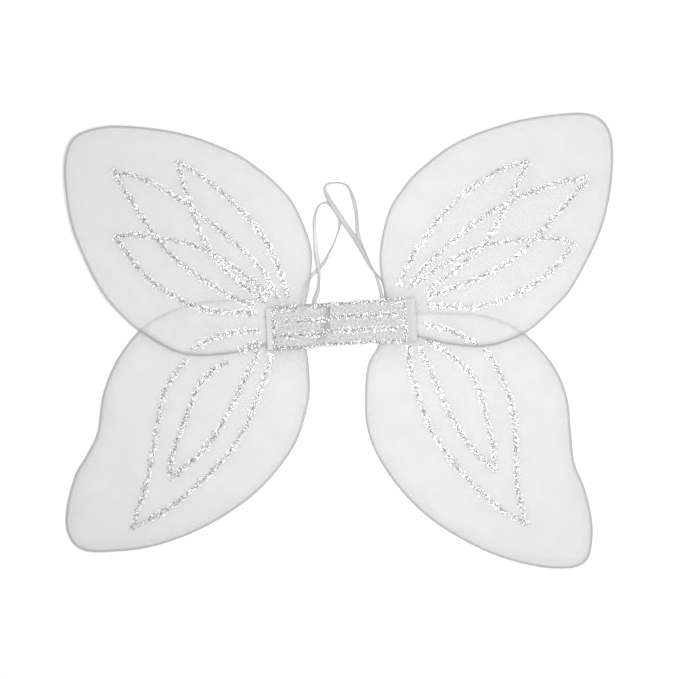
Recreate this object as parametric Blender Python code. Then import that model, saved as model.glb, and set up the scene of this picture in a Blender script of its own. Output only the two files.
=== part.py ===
"""Costume fairy wings, lying open on their back, front face up.

Four wire loops, each inside a sheer stocking sleeve, are lashed to a wire spine. Two fabric
panels close the middle like a sandwich, and two elastic loops come out of its top edge.
Lengths are in millimetres and become metres where vertices are made. +X runs along the band,
+Y points to the upper wings and +Z is up, away from the surface that the wings lie on. The
origin is the centre of the back panel's lower face.
"""

import math

import bmesh
import bpy
from mathutils import Matrix, Vector

MM = 0.001
GAP = 0.3  # air between pieces that touch

# The band
BAND_LEFT = -84.0
BAND_RIGHT = 80.4
BAND_HALF_WIDTH = 23.5
PANEL_THICKNESS = 0.8
FOLD_X = 17.5  # distance of each fold line from the middle

# Wires
WIRE_RADIUS = 0.9
LASHING = (54.0, 1.0)  # where a side's loops are bound, mirrored for the left
LASHING_RADIUS = 2.0
EYE_RADIUS = LASHING_RADIUS + GAP + WIRE_RADIUS
SPINE_HALF_SPACING = 6.0

# Sleeves, glitter and straps
SLEEVE_THICKNESS = 0.3
SLEEVE_INNER = WIRE_RADIUS + GAP
SLEEVE_OUTER = SLEEVE_INNER + SLEEVE_THICKNESS
GLITTER_WIDTH = 5.0
GLITTER_HEIGHT = 0.7
STRAP_THICKNESS = 1.0
STRAP_GAP = 0.1  # air between a strap and the surface under it
LINE_LIFT = 0.04  # each glitter line of a wing starts this much higher than the one before
LINE_DROP = 0.06  # and is this much thinner, so that no two share a plane
FOLD_CLEARANCE = 0.1
EYE_STEPS = 6
LASHING_SIDES = 16

# Samples to a span of each kind of curve
LOOP_STEPS = 3
GLITTER_STEPS = 3
STRAP_STEPS = 2

# Layers, from the back panel upwards
BACK_TOP = PANEL_THICKNESS
LOWER_WING_Z = BACK_TOP + GAP + SLEEVE_OUTER
LOWER_GLITTER_Z = LOWER_WING_Z + SLEEVE_OUTER + GAP
UPPER_WING_Z = LOWER_GLITTER_Z + GLITTER_HEIGHT + GAP + SLEEVE_OUTER
UPPER_GLITTER_Z = UPPER_WING_Z + SLEEVE_OUTER + GAP
FRONT_Z = UPPER_GLITTER_Z + GLITTER_HEIGHT + GAP
TRIM_Z = FRONT_Z + PANEL_THICKNESS + GAP
SPINE_Z = (LOWER_WING_Z + UPPER_WING_Z) / 2
FOLD_Z = TRIM_Z + GLITTER_HEIGHT + FOLD_CLEARANCE

# Each outline runs from where its wire leaves the band, round the wing and back
UPPER_LEFT = [
    (-40, 27), (-33, 58), (-32, 88), (-46, 130), (-63, 154), (-85, 175), (-112, 194), (-166, 217),
    (-234, 229), (-275, 224), (-291, 208), (-296, 177), (-292, 128), (-280, 89), (-263, 51), (-244, 25),
    (-222, 4), (-180, -22), (-135, -26), (-90, -19),
]
UPPER_RIGHT = [
    (50, 27), (45, 58), (48, 88), (58, 120), (72, 141), (92, 162), (136, 191), (197, 210), (254, 216),
    (286, 213), (302, 197), (305, 168), (299, 125), (284, 80), (255, 30), (235, 8), (201, -19),
    (160, -32), (121, -29), (86, -19),
]
LOWER_LEFT = [
    (-86, 28), (-132, 32), (-164, 30), (-198, 19), (-224, 3), (-250, -28), (-267, -65), (-275, -105),
    (-289, -131), (-302, -151), (-313, -185), (-314, -213), (-300, -232), (-268, -236), (-219, -232),
    (-161, -213), (-105, -179), (-63, -133), (-45, -89), (-41, -60), (-43, -25),
]
LOWER_RIGHT = [
    (84, 6), (123, 4), (161, -2), (198, -22), (228, -59), (241, -95), (243, -131), (245, -166),
    (255, -196), (261, -231), (259, -259), (252, -275), (234, -281), (198, -277), (149, -260),
    (98, -229), (62, -195), (34, -153), (22, -118), (21, -85), (26, -48), (40, -25),
]

# Glitter lines of each wing, leaf by leaf, from a leaf's tip down to the band
UPPER_LEFT_LINES = [
    [(-172, 188), (-135, 160), (-92, 114), (-70, 72), (-58, 31)],
    [(-172, 188), (-165, 156), (-148, 101), (-121, 60), (-82, 28)],
    [(-244, 181), (-204, 167), (-154, 131), (-92, 72), (-70, 31)],
    [(-244, 181), (-216, 132), (-184, 85), (-132, 43), (-95, 24)],
    [(-246, 109), (-207, 107), (-149, 90), (-103, 57), (-77, 34)],
    [(-246, 109), (-217, 67), (-184, 40), (-145, 22), (-94, 17)],
]
UPPER_RIGHT_LINES = [
    [(213, 167), (178, 158), (127, 124), (83, 74), (63, 37)],
    [(213, 167), (186, 121), (163, 82), (137, 60), (92, 29)],
    [(277, 145), (232, 139), (164, 111), (99, 63), (75, 35)],
    [(277, 145), (234, 100), (192, 62), (156, 44), (94, 23)],
    [(260, 74), (225, 82), (155, 76), (107, 55), (83, 38)],
    [(260, 74), (223, 39), (183, 19), (142, 10), (94, 16)],
]
LOWER_LEFT_OUTER_LINES = [
    [(-244, -213), (-223, -156), (-203, -73), (-189, -48), (-173, -29)],
    [(-244, -213), (-189, -184), (-124, -124), (-86, -47), (-81, -28)],
]
LOWER_LEFT_INNER_LINES = [
    [(-199, -161), (-195, -134), (-165, -66), (-143, -42), (-128, -36)],
    [(-199, -161), (-152, -121), (-107, -49), (-94, -23)],
]
LOWER_RIGHT_OUTER_LINES = [
    [(190, -232), (182, -185), (182, -109), (165, -54), (152, -36)],
    [(190, -232), (142, -194), (91, -123), (71, -47), (72, -28)],
]
LOWER_RIGHT_INNER_LINES = [
    [(159, -172), (157, -140), (144, -75), (118, -43), (91, -23)],
    [(159, -172), (123, -127), (88, -43), (84, -29)],
]

# The same leaves go on over the lower edge of the upper wings
UPPER_LEFT_CROSSING_LINES = [[(-166, -20.5), (-148, -10), (-126, -4), (-92, -3)]]
UPPER_LEFT_EDGE_LINES = [[(-116, -24), (-92, -15)]]
UPPER_RIGHT_CROSSING_LINES = [[(147, -30), (130, -21), (109, -11), (88, -6)]]

# Strap routes: x, y, height above lying on the surface, turn from flat in degrees, and width.
# The elastic is narrower where it is bunched or stretched.
LEFT_STRAP = [
    (-30, 23.8, 1.3, 0, 4), (-29.8, 28, 1, 0, 4.4), (-26.2, 36, 0.5, 0, 4.2), (-24.1, 47, 0.4, 0, 2.8),
    (-23.5, 55, 1.4, 0, 3.2), (-23.7, 61.5, 1.9, 8, 3.8), (-24.1, 68, 1.4, 18, 4.8),
    (-24.9, 78, 0.1, 33, 5.8), (-25.3, 99, 0, 50, 5.4), (-24.9, 116.5, 0, 58, 5),
    (-20.2, 129.6, 0, 72, 4.8), (-13.5, 133.8, 0, 76, 4), (-8, 132.3, 0, 28, 3.6), (-3, 127, 0, 0, 4),
    (2, 118, 0, 0, 3.6), (2.7, 113.5, 0, 5, 3.4), (1.8, 108.5, 0, 48, 4), (0.2, 102, 0, 78, 4.8),
    (-5, 89.2, 0, 80, 4.8), (-10.5, 79.8, 0, 66, 4.8), (-17.5, 68.1, 0, 34, 4.6), (-22, 63, 0, 4, 3.6),
    (-26.8, 59, 0, 0, 3.6), (-32.8, 53.2, 0, 0, 3.6), (-39.2, 44.5, 0, 0, 3.8), (-44, 35, 0.4, 0, 4),
    (-46, 28, 1, 0, 4.2), (-46, 23.8, 1.3, 0, 4),
]
RIGHT_STRAP = [
    (44, 23.8, 1.3, 0, 3.6), (44, 28, 1.1, 0, 3.2), (42, 40, 1.2, 0, 3), (37.6, 54.4, 1.5, 0, 2.4),
    (32.7, 63, 1.6, 0, 3.2), (25, 80, 1.8, 0, 5.2), (17.5, 94.5, 2, 0, 5.4), (10.5, 105.5, 2.3, 0, 5.4),
    (3.2, 117.4, 2.6, 0, 5.6), (-2.5, 127, 3.1, 0, 5.4), (-6.8, 134.5, 3.9, 10, 4.8),
    (-9.5, 141, 2.3, 35, 5), (-11.8, 148, 0.3, 52, 5.4), (-9.5, 153.6, 0, 78, 5.4),
    (-1, 155, 0, 84, 5.4), (8.5, 153.6, 0, 82, 5.4), (14.6, 147.8, 0, 62, 5.6),
    (19.2, 133.4, 0, 48, 5.8), (21.2, 116.4, 0, 50, 5.8), (21.2, 103, 0, 50, 5.6),
    (22, 95.5, 0, 25, 4.8), (23.6, 88, 0, 8, 4.4), (26.5, 80.5, 0, 0, 4), (33, 63.3, 0, 0, 3),
    (37.8, 54.8, 0, 0, 2.2), (45.3, 45, 0, 0, 2), (48.2, 36, 0.4, 0, 2.2), (48.6, 28, 1, 0, 3.2),
    (48.6, 23.8, 1.3, 0, 3.6),
]
TACK_LENGTH = 6.0
TACK_WIDTH = 4.0
TACK_HEIGHT = 1.6

# Glitter rows on the front panel: height, left end and right end
ROW_TOP = (22.0, -75, 69)
ROW_TOP_BREAK = (-50, -36)
ROW_UPPER = (7.5, -62, 62)
ROW_LOWER = (-8.0, -67, 60)
ROW_BOTTOM = (-21.5, -75, 68)
COLUMN_X = (-75.5, 68.0)
SEAM_LENGTH = 8.0
SEAM_WIDTH = 1.5

# Joint axes: a side folds about a line along Y, a wing swings about its lashing
PIVOTS = {
    "band_centre": (0.0, 0.0, 0.0),
    "left_side": (-FOLD_X, 0.0, FOLD_Z),
    "right_side": (FOLD_X, 0.0, FOLD_Z),
    "upper_left_wing": (-LASHING[0], LASHING[1], UPPER_WING_Z),
    "lower_left_wing": (-LASHING[0], LASHING[1], LOWER_WING_Z),
    "upper_right_wing": (LASHING[0], LASHING[1], UPPER_WING_Z),
    "lower_right_wing": (LASHING[0], LASHING[1], LOWER_WING_Z),
}
PARENTS = {
    "band_centre": None,
    "left_side": "band_centre",
    "right_side": "band_centre",
    "upper_left_wing": "left_side",
    "lower_left_wing": "left_side",
    "upper_right_wing": "right_side",
    "lower_right_wing": "right_side",
}


def clear_scene():
    for item in list(bpy.data.objects):
        bpy.data.objects.remove(item, do_unlink=True)


def make_material(name, colour, roughness, metallic=0.0):
    material = bpy.data.materials.new(name)
    material.use_nodes = True
    shader = material.node_tree.nodes["Principled BSDF"]
    shader.inputs["Base Color"].default_value = (*colour, 1.0)
    shader.inputs["Roughness"].default_value = roughness
    shader.inputs["Metallic"].default_value = metallic
    return material


def make_empties():
    empties = {}
    for name, pivot in PIVOTS.items():
        empty = bpy.data.objects.new(name + "_axis", None)
        parent = PARENTS[name]
        base = Vector(PIVOTS[parent]) if parent else Vector((0, 0, 0))
        empty.location = (Vector(pivot) - base) * MM
        if parent:
            empty.parent = empties[parent]
        bpy.context.scene.collection.objects.link(empty)
        empties[name] = empty
    return empties


def add_object(name, data, body, material):
    """Link an object whose data is measured from its body's pivot."""
    item = bpy.data.objects.new(name, data)
    data.materials.append(MATERIALS[material])
    item.parent = EMPTIES[body]
    bpy.context.scene.collection.objects.link(item)
    return item


def local(point, body):
    return (Vector(point) - Vector(PIVOTS[body])) * MM


def smooth(points, steps):
    """Catmull-Rom curve through the points, with this many samples to a span."""
    known = [Vector(p) for p in points]
    known = [2 * known[0] - known[1], *known, 2 * known[-1] - known[-2]]
    curve = []
    for a, b, c, d in zip(known, known[1:], known[2:], known[3:]):
        for i in range(steps):
            t = i / steps
            point = 2 * b + (c - a) * t + (2 * a - 5 * b + 4 * c - d) * t**2
            point += (3 * b - a - 3 * c + d) * t**3
            curve.append(point / 2)
    curve.append(known[-2])
    return curve


def at_height(path, z):
    return [p.to_3d() + Vector((0, 0, z)) for p in path]


def tangents(path):
    last = len(path) - 1
    return [(path[min(i + 1, last)] - path[max(i - 1, 0)]).normalized() for i in range(last + 1)]


def tube(name, path, body, material, radius=WIRE_RADIUS, closed=False):
    """Round wire along a path of 3-D points."""
    data = bpy.data.curves.new(name, "CURVE")
    data.dimensions = "3D"
    data.bevel_depth = radius * MM
    data.bevel_resolution = 1
    data.use_fill_caps = True
    spline = data.splines.new("POLY")
    spline.points.add(len(path) - 1)
    for target, point in zip(spline.points, path):
        target.co = (*local(point, body), 1.0)
    spline.use_cyclic_u = closed
    return add_object(name, data, body, material)


def mesh_object(name, shape, body, material):
    """Turn a bmesh in world millimetres into an object on its body."""
    bmesh.ops.transform(shape, matrix=SCALE_DOWN, verts=shape.verts)
    bmesh.ops.translate(shape, vec=-Vector(PIVOTS[body]) * MM, verts=shape.verts)
    bmesh.ops.recalc_face_normals(shape, faces=shape.faces)
    data = bpy.data.meshes.new(name)
    shape.to_mesh(data)
    shape.free()
    return add_object(name, data, body, material)


def box(name, low, high, body, material):
    shape = bmesh.new()
    bmesh.ops.create_cube(shape, size=1.0)
    middle = (Vector(low) + Vector(high)) / 2
    size = Vector(high) - Vector(low)
    for vertex in shape.verts:
        vertex.co = Vector([m + v * s for m, v, s in zip(middle, vertex.co, size)])
    return mesh_object(name, shape, body, material)


def ribbon(path, widths, thickness, turns):
    """Rectangular strip along a path, with a width and a turn from flat at each point."""
    shape = bmesh.new()
    rings = []
    for point, along, width, turn in zip(path, tangents(path), widths, turns):
        across = Vector((-along.y, along.x, 0)).normalized()
        upward = along.cross(across).normalized()
        flat = across * math.cos(turn) + upward * math.sin(turn)
        proud = upward * math.cos(turn) - across * math.sin(turn)
        corners = ((-1, -1), (1, -1), (1, 1), (-1, 1))
        rings.append([
            shape.verts.new(point + flat * (width / 2 * a) + proud * (thickness / 2 * b))
            for a, b in corners
        ])
    for first, second in zip(rings, rings[1:]):
        for i in range(4):
            j = (i + 1) % 4
            shape.faces.new((first[i], first[j], second[j], second[i]))
    shape.faces.new(rings[0])
    shape.faces.new(rings[-1])
    return shape


def glitter_lines(name, lines, base_z, body):
    """Raised glue lines that fuse where they meet, as one body."""
    pieces = []
    for i, line in enumerate(lines):
        height = GLITTER_HEIGHT - LINE_DROP * i
        middle = base_z + LINE_LIFT * i + height / 2
        path = at_height(smooth(line, GLITTER_STEPS), middle)
        strip = ribbon(path, [GLITTER_WIDTH] * len(path), height, [0.0] * len(path))
        pieces.append(mesh_object(f"{name}_{i}", strip, body, "glitter"))
    whole = pieces[0]
    for other in pieces[1:]:
        join = whole.modifiers.new("join", "BOOLEAN")
        join.operation = "UNION"
        join.solver = "EXACT"
        join.object = other
    bpy.context.view_layer.update()
    evaluated = whole.evaluated_get(bpy.context.evaluated_depsgraph_get())
    data = bpy.data.meshes.new_from_object(evaluated)
    data.materials.clear()
    for piece in pieces:
        bpy.data.objects.remove(piece, do_unlink=True)
    return add_object(name, data, body, "glitter")


def eye_points(start, end, centre):
    """Bend a loop's two legs tangentially round its lashing, from end back to start."""
    first = start - centre
    last = end - centre
    turn = 1.0 if first.cross(last) > 0 else -1.0
    first_angle = math.atan2(first.y, first.x) - turn * math.acos(EYE_RADIUS / first.length)
    last_angle = math.atan2(last.y, last.x) + turn * math.acos(EYE_RADIUS / last.length)
    sweep = (turn * (first_angle - last_angle)) % (2 * math.pi)
    angles = [last_angle + turn * sweep * i / EYE_STEPS for i in range(EYE_STEPS + 1)]
    return [centre + EYE_RADIUS * Vector((math.cos(a), math.sin(a))) for a in angles]


def wing_loop(outline, centre):
    """Whole wire path of one wing, and the part of it that the sleeve covers."""
    points = [Vector(p) for p in outline]
    eye = eye_points(points[0], points[-1], centre)
    curve = smooth([eye[-1], *points, eye[0]], LOOP_STEPS)
    sleeve = curve[LOOP_STEPS:-LOOP_STEPS]
    return curve[:-1] + eye[:-1], sleeve


def sleeve_bag(name, rim, z, body):
    """Flat stocking bag over a wire loop, open along the straight edge at the root."""
    area = sum(a.cross(b) for a, b in zip(rim, rim[1:] + rim[:1]))
    outward = 1.0 if area > 0 else -1.0
    normals = [outward * Vector((t.y, -t.x)) for t in tangents(rim)]
    shape = bmesh.new()
    layers = []
    for offset, height in (
        (SLEEVE_OUTER, SLEEVE_OUTER), (SLEEVE_OUTER, -SLEEVE_OUTER),
        (SLEEVE_INNER, -SLEEVE_INNER), (SLEEVE_INNER, SLEEVE_INNER),
    ):
        layers.append([
            shape.verts.new((p + n * offset).to_3d() + Vector((0, 0, z + height)))
            for p, n in zip(rim, normals)
        ])
    for layer in layers:
        shape.faces.new(layer)
    for upper, lower in ((layers[0], layers[1]), (layers[2], layers[3])):
        for i in range(len(rim) - 1):
            shape.faces.new((upper[i], upper[i + 1], lower[i + 1], lower[i]))
    for this, following in zip(layers, layers[1:] + layers[:1]):
        if this in (layers[1], layers[3]):
            shape.faces.new((this[0], following[0], following[-1], this[-1]))
    for end in (0, -1):
        shape.faces.new([layer[end] for layer in layers])
    bmesh.ops.triangulate(shape, faces=shape.faces)
    return mesh_object(name, shape, body, "nylon")


def make_wing(side, level, outline, z):
    body = f"{level}_{side}_wing"
    centre = Vector(PIVOTS[body][:2])
    wire, sleeve = wing_loop(outline, centre)
    tube(f"{level}_{side}_wire_loop", at_height(wire, z), body, "wire", closed=True)
    sleeve_bag(f"{level}_{side}_sleeve", sleeve, z, body)


def make_spine():
    for side, sign in (("left", -1), ("right", 1)):
        body = f"{side}_side"
        start = Vector((sign * (FOLD_X + GAP), SPINE_HALF_SPACING))
        end = Vector((start.x, -SPINE_HALF_SPACING))
        centre = Vector((sign * LASHING[0], LASHING[1]))
        bend = eye_points(end, start, centre)
        tube(f"spine_wire_{side}", at_height([start, *bend, end], SPINE_Z), body, "wire")
    for edge, y in (("top", SPINE_HALF_SPACING), ("bottom", -SPINE_HALF_SPACING)):
        reach = FOLD_X - GAP
        path = [Vector((-reach, y)), Vector((reach, y))]
        tube(f"spine_wire_centre_{edge}", at_height(path, SPINE_Z), "band_centre", "wire")


def make_lashing(side, sign):
    shape = bmesh.new()
    bottom = BACK_TOP + GAP
    top = FRONT_Z - GAP
    bmesh.ops.create_cone(
        shape, cap_ends=True, segments=LASHING_SIDES, radius1=LASHING_RADIUS,
        radius2=LASHING_RADIUS, depth=top - bottom,
    )
    middle = Vector((sign * LASHING[0], LASHING[1], (bottom + top) / 2))
    bmesh.ops.translate(shape, vec=middle, verts=shape.verts)
    mesh_object(f"{side}_root_lashing", shape, f"{side}_side", "thread")


def make_panels():
    """Back and front panel in three sections each, parted at the fold lines."""
    sections = {
        "left": (BAND_LEFT, -FOLD_X - GAP, "left_side"),
        "centre": (-FOLD_X + GAP, FOLD_X - GAP, "band_centre"),
        "right": (FOLD_X + GAP, BAND_RIGHT, "right_side"),
    }
    half = BAND_HALF_WIDTH
    for part, (left, right, body) in sections.items():
        for layer, z in (("back", 0.0), ("front", FRONT_Z)):
            low = (left, -half, z)
            high = (right, half, z + PANEL_THICKNESS)
            box(f"{layer}_panel_{part}", low, high, body, "panel")


def make_seams():
    """Glue lines that hold the two panels together along their long edges."""
    spans = {
        "left": (-FOLD_X - SEAM_LENGTH, -FOLD_X - GAP, "left_side"),
        "centre": (-FOLD_X + GAP, FOLD_X - GAP, "band_centre"),
        "right": (FOLD_X + GAP, FOLD_X + SEAM_LENGTH, "right_side"),
    }
    for part, (left, right, body) in spans.items():
        for edge, y in (("top", BAND_HALF_WIDTH - SEAM_WIDTH), ("bottom", -BAND_HALF_WIDTH)):
            low = (left, y, BACK_TOP + GAP)
            high = (right, y + SEAM_WIDTH, FRONT_Z - GAP)
            box(f"{edge}_seam_{part}", low, high, body, "thread")


def row(name, left, right, y, body):
    low = (left, y - GLITTER_WIDTH / 2, TRIM_Z)
    high = (right, y + GLITTER_WIDTH / 2, TRIM_Z + GLITTER_HEIGHT)
    # rows at the panel's edge stay on the panel
    high = (high[0], min(high[1], BAND_HALF_WIDTH), high[2])
    low = (low[0], max(low[1], -BAND_HALF_WIDTH), low[2])
    return box(name, low, high, body, "glitter")


def glitter_frame(name, sign, outer, top_end, bottom_end, body):
    """Column at one end of the panel with the top and bottom rows that leave it."""
    half = GLITTER_WIDTH / 2
    inner = outer - sign * half
    edge = outer + sign * half
    top_in = min(ROW_TOP[0] + half, BAND_HALF_WIDTH)
    bottom_in = max(ROW_BOTTOM[0] - half, -BAND_HALF_WIDTH)
    profile = [
        (edge, top_in), (top_end, top_in), (top_end, ROW_TOP[0] - half), (inner, ROW_TOP[0] - half),
        (inner, ROW_BOTTOM[0] + half), (bottom_end, ROW_BOTTOM[0] + half), (bottom_end, bottom_in),
        (edge, bottom_in),
    ]
    shape = bmesh.new()
    face = shape.faces.new([shape.verts.new((x, y, TRIM_Z)) for x, y in profile])
    grown = bmesh.ops.extrude_face_region(shape, geom=[face])["geom"]
    moved = [item for item in grown if isinstance(item, bmesh.types.BMVert)]
    bmesh.ops.translate(shape, vec=(0, 0, GLITTER_HEIGHT), verts=moved)
    bmesh.ops.triangulate(shape, faces=shape.faces)
    return mesh_object(name, shape, body, "glitter")


def make_panel_glitter():
    fold = FOLD_X + GAP
    inside = FOLD_X - GAP
    glitter_frame("panel_glitter_left_frame", -1, COLUMN_X[0], ROW_TOP_BREAK[0], -fold, "left_side")
    glitter_frame("panel_glitter_right_frame", 1, COLUMN_X[1], fold, fold, "right_side")
    row("panel_glitter_left_row_1", ROW_TOP_BREAK[1], -fold, ROW_TOP[0], "left_side")
    for number, (y, left, right) in ((2, ROW_UPPER), (3, ROW_LOWER)):
        row(f"panel_glitter_left_row_{number}", left, -fold, y, "left_side")
        row(f"panel_glitter_right_row_{number}", fold, right, y, "right_side")
    for number, line in enumerate((ROW_TOP, ROW_UPPER, ROW_LOWER, ROW_BOTTOM), 1):
        row(f"panel_glitter_centre_row_{number}", -inside, inside, line[0], "band_centre")


def make_end_tapes():
    """Pale tape over the raw ends of the front panel."""
    half = GLITTER_WIDTH / 2 + GAP
    spans = {
        "left": (BAND_LEFT, COLUMN_X[0] - half),
        "right": (COLUMN_X[1] + half, BAND_RIGHT),
    }
    for side, (left, right) in spans.items():
        low = (left, -BAND_HALF_WIDTH, TRIM_Z)
        high = (right, BAND_HALF_WIDTH, TRIM_Z + GLITTER_HEIGHT / 2)
        box(f"end_tape_{side}", low, high, f"{side}_side", "tape")


def make_strap(name, route):
    """Flat elastic along its route, no lower than the surface."""
    path = []
    widths = []
    turns = []
    for x, y, lift, turn, width in smooth(route, STRAP_STEPS):
        tip = math.radians(max(0.0, min(90.0, turn)))
        rest = (width * math.sin(tip) + STRAP_THICKNESS * math.cos(tip)) / 2 + STRAP_GAP
        path.append(Vector((x, y, max(lift, 0.0) + rest)))
        widths.append(width)
        turns.append(tip)
    strip = ribbon(path, widths, STRAP_THICKNESS, turns)
    return mesh_object(name, strip, "band_centre", "elastic")


def make_tacks():
    """Stitched pads that hold the strap ends between the panels."""
    for side, route in (("left", LEFT_STRAP), ("right", RIGHT_STRAP)):
        for number, end in enumerate((route[0], route[-1]), 1):
            low = (end[0] - TACK_WIDTH / 2, BAND_HALF_WIDTH - TACK_LENGTH, BACK_TOP + GAP)
            high = (end[0] + TACK_WIDTH / 2, BAND_HALF_WIDTH, BACK_TOP + GAP + TACK_HEIGHT)
            box(f"{side}_strap_tack_{number}", low, high, f"{side}_side", "thread")


def make_wings():
    make_wing("left", "lower", LOWER_LEFT, LOWER_WING_Z)
    make_wing("right", "lower", LOWER_RIGHT, LOWER_WING_Z)
    make_wing("left", "upper", UPPER_LEFT, UPPER_WING_Z)
    make_wing("right", "upper", UPPER_RIGHT, UPPER_WING_Z)
    upper = UPPER_GLITTER_Z
    lower = LOWER_GLITTER_Z
    glitter_lines("upper_left_glitter", UPPER_LEFT_LINES, upper, "upper_left_wing")
    glitter_lines("upper_left_crossing_glitter", UPPER_LEFT_CROSSING_LINES, upper, "upper_left_wing")
    glitter_lines("upper_left_edge_glitter", UPPER_LEFT_EDGE_LINES, upper, "upper_left_wing")
    glitter_lines("upper_right_glitter", UPPER_RIGHT_LINES, upper, "upper_right_wing")
    glitter_lines("upper_right_crossing_glitter", UPPER_RIGHT_CROSSING_LINES, upper, "upper_right_wing")
    glitter_lines("lower_left_outer_glitter", LOWER_LEFT_OUTER_LINES, lower, "lower_left_wing")
    glitter_lines("lower_left_inner_glitter", LOWER_LEFT_INNER_LINES, lower, "lower_left_wing")
    glitter_lines("lower_right_outer_glitter", LOWER_RIGHT_OUTER_LINES, lower, "lower_right_wing")
    glitter_lines("lower_right_inner_glitter", LOWER_RIGHT_INNER_LINES, lower, "lower_right_wing")


clear_scene()
SCALE_DOWN = Matrix.Scale(MM, 4)
MATERIALS = {
    "nylon": make_material("white_nylon", (0.83, 0.83, 0.84), 0.7),
    "wire": make_material("coated_wire", (0.78, 0.78, 0.78), 0.35),
    "panel": make_material("panel_mesh", (0.70, 0.70, 0.71), 0.8),
    "tape": make_material("end_tape", (0.86, 0.86, 0.86), 0.6),
    "glitter": make_material("glitter_glue", (0.88, 0.88, 0.90), 0.3),
    "elastic": make_material("white_elastic", (0.85, 0.85, 0.85), 0.75),
    "thread": make_material("white_thread", (0.86, 0.86, 0.85), 0.8),
}
EMPTIES = make_empties()
make_wings()
make_spine()
for side_name, side_sign in (("left", -1), ("right", 1)):
    make_lashing(side_name, side_sign)
make_panels()
make_seams()
make_panel_glitter()
make_end_tapes()
make_strap("left_strap", LEFT_STRAP)
make_strap("right_strap", RIGHT_STRAP)
make_tacks()
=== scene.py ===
"""Looks of the costume fairy wings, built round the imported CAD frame.

Lengths are in millimetres and become metres where a mesh is made, unless a comment says metres.
The wings lie on their back: +X along the band, +Y to the upper wings, +Z up out of the front face.
"""

import math

import bmesh
import bpy
import numpy as np
from mathutils import Matrix, Vector
from mathutils.geometry import delaunay_2d_cdt


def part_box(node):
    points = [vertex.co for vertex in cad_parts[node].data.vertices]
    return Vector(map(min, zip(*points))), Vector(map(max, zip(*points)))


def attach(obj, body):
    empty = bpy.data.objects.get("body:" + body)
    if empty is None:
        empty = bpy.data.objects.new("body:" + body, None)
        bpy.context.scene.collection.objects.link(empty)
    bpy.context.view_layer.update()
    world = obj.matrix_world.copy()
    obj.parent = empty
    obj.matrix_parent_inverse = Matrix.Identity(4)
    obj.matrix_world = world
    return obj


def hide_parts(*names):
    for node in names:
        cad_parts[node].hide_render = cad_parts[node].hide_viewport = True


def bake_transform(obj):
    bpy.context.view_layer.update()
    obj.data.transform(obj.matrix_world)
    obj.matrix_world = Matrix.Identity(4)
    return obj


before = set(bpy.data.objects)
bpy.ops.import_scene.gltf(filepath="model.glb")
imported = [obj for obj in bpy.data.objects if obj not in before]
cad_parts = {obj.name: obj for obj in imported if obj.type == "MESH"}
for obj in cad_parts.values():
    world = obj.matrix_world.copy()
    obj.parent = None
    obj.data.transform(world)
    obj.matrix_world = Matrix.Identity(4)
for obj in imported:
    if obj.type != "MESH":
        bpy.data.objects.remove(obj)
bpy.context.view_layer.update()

MM = 0.001
SIGN = {"left": -1, "right": 1}


def middle_height(node):
    low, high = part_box(node)
    return (low.z + high.z) / 2 / MM


# Heights of the layers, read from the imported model
UPPER_WIRE_Z = middle_height("upper_left_wire_loop")
LOWER_WIRE_Z = middle_height("lower_left_wire_loop")
SPINE_Z = middle_height("spine_wire_centre_top")
BACK_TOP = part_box("back_panel_centre")[1].z / MM
FRONT_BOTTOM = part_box("front_panel_centre")[0].z / MM
FRONT_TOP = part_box("front_panel_centre")[1].z / MM

# The band
BAND_END = {"left": -84.0, "right": 80.4}
BAND_HALF_WIDTH = 23.5
BAND_HEIGHTS = np.linspace(-BAND_HALF_WIDTH, BAND_HALF_WIDTH, 25)
PANEL_THICKNESS = FRONT_TOP - FRONT_BOTTOM
EDGE_DROP = 3.6  # how far the front panel falls to its glued long edges
EDGE_ROLL = 8.0  # and how far in from an edge that starts
EDGE_SPANS = {"top": (28, 36), "bottom": (68, 78)}  # full to the first |x|, gone at the second
SEAM_REACH = {"top": 25.5, "bottom": 34.0}
SEAM_TAPER = 9.0
SEAM_FOOT = 0.35  # share of its height that is left at its end
SEAM_TUCK = 0.9
SEAM_CREASES = (0.3, 1.3, 0.47)  # share of the tuck, and the rates of two waves along it
# Round a gusset: share of the height, depth, and how much of the tuck comes on top of the depth
SEAM_PROFILE = (
    (0, 0.3, 0), (0.2, 0.4, 0.5), (0.5, 0.4, 1), (0.8, 0.4, 0.5), (1, 0.3, 0), (1, 1.0, 1), (0.5, 0.9, 1),
    (0, 1.0, 1),
)
STITCH_SPACING = 3.0
STITCH_LEAN = 1.6
STITCH_MARGIN = 0.3
STITCH_RADIUS = 0.22
STITCH_SUNK = 0.1
CREASE = [(-23.5, -24), (-12, -18), (-6, -14.5), (8, -13.5), (23.5, -12.5)]  # (y, x) of the pleat
PLEAT_WIDTH = [(-8, 11), (5, 8.5), (16, 4.8)]  # (y, width) of the shade left of the crease
PLEAT_SHADE = [(-18, 0.13), (-6, 0.31), (5, 0.33), (14, 0.43)]  # (y, how much darker)
PLEAT_PROFILE = [(0, 0), (0.15, 1), (0.8, 0.85), (1.3, 0)]  # (share of the width, of the shade)
CREASE_HEIGHT = 1.3
CREASE_RIGHT = 9.0  # how far the crease takes to settle to its right
CREASE_LEFT = 1.4
CREASE_SLIP = 2.4  # how far the panel has slipped down left of its crease
SLIP_REACH = 5.0
SLIP_SHARE = [(-BAND_HALF_WIDTH, 0.55), (-8, 1)]  # (y, share of the slip)
TUCK_HEIGHT = 0.35  # second, softer fold, left of the crease
TUCK_AWAY = 9.0
TUCK_WIDTH = 5.0
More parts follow.
